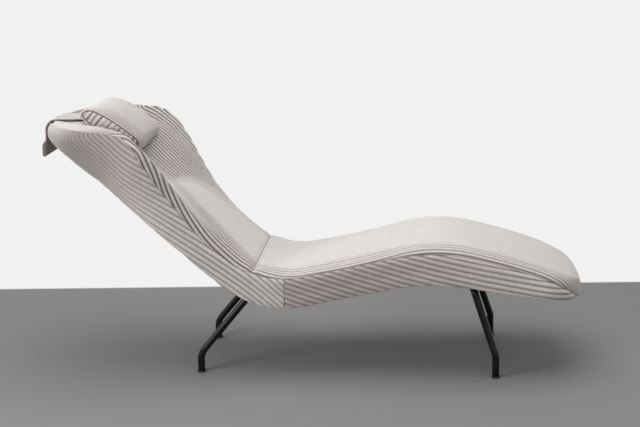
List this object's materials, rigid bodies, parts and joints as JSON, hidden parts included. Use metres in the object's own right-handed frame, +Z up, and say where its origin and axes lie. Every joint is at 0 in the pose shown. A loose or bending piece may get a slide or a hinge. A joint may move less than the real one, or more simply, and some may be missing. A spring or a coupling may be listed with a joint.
{
  "type": "chaise longue",
  "caption": "S-shaped padded chaise longue in ribbed fabric on bent black tube legs, with a head pillow that slides on a weighted strap.",
  "frame": {"origin": "on the floor, in the middle of the length and of the width", "axes": "+X from the head end to the foot end, +Y across to the far side in the picture, +Z up"},
  "size_m": [1.7001, 0.6498, 0.8397],
  "materials": {
    "cover_fabric": "wide-rib cord, pale greige, matt",
    "lining": "plain woven lining, matt",
    "webbing": "elastic webbing, matt",
    "foam": "cut polyurethane foam with wadding",
    "fibre_fill": "loose fibre in an inner case",
    "beech": "planed, unfinished",
    "leg_paint": "black powder coat, satin",
    "glide_plastic": "black moulded, matt",
    "bolt_steel": "zinc plated",
    "rod_steel": "drawn wire",
    "bar_steel": "flat bar"
  },
  "bodies": {
    "chaise": {"back_cover": "cover_fabric", "back_foam": "foam", "back_rail": "beech", "back_side_board_left": "beech", "back_side_board_right": "beech", "back_side_cover_left": "cover_fabric", "back_side_cover_right": "cover_fabric", "back_web_1": "webbing", "back_web_2": "webbing", "back_web_3": "webbing", "back_web_4": "webbing", "back_web_5": "webbing", "crease_rod": "rod_steel", "foot_rail": "beech", "front_glide_left": "glide_plastic", "front_glide_right": "glide_plastic", "front_leg_bolt_left_a": "bolt_steel", "front_leg_bolt_left_b": "bolt_steel", "front_leg_bolt_right_a": "bolt_steel", "front_leg_bolt_right_b": "bolt_steel", "front_leg_left": "leg_paint", "front_leg_plate_left": "leg_paint", "front_leg_plate_right": "leg_paint", "front_leg_rail": "beech", "front_leg_right": "leg_paint", "head_rail": "beech", "rear_glide_left": "glide_plastic", "rear_glide_right": "glide_plastic", "rear_leg_bolt_left_a": "bolt_steel", "rear_leg_bolt_left_b": "bolt_steel", "rear_leg_bolt_right_a": "bolt_steel", "rear_leg_bolt_right_b": "bolt_steel", "rear_leg_left": "leg_paint", "rear_leg_plate_left": "leg_paint", "rear_leg_plate_right": "leg_paint", "rear_leg_rail": "beech", "rear_leg_right": "leg_paint", "rear_padding": "foam", "seat_cover": "cover_fabric", "seat_foam": "foam", "seat_side_cover_left": "cover_fabric", "seat_side_cover_right": "cover_fabric", "seat_web_1": "webbing", "seat_web_2": "webbing", "seat_web_3": "webbing", "seat_web_4": "webbing", "seat_web_5": "webbing", "side_rail_left": "beech", "side_rail_right": "beech", "strap_bridge": "cover_fabric", "underside_lining": "lining"},
    "head_pillow": {"pillow_cover": "cover_fabric", "pillow_core": "fibre_fill", "strap_end": "cover_fabric"},
    "counterweight": {"strap_flap": "cover_fabric", "counterweight_bar": "bar_steel"}
  },
  "joints": [
    {"name": "pillow_slide", "type": "slide", "parent": "chaise", "child": "head_pillow", "axis": [0.7884, 0, -0.6152], "range_m": [0, 0.06]},
    {"name": "flap_slide", "type": "slide", "parent": "chaise", "child": "counterweight", "axis": [0, 0, 1], "range_m": [0, 0.06]}
  ],
  "couplings": [
    {"joint": "flap_slide", "follows": "pillow_slide", "ratio": 1}
  ]
}
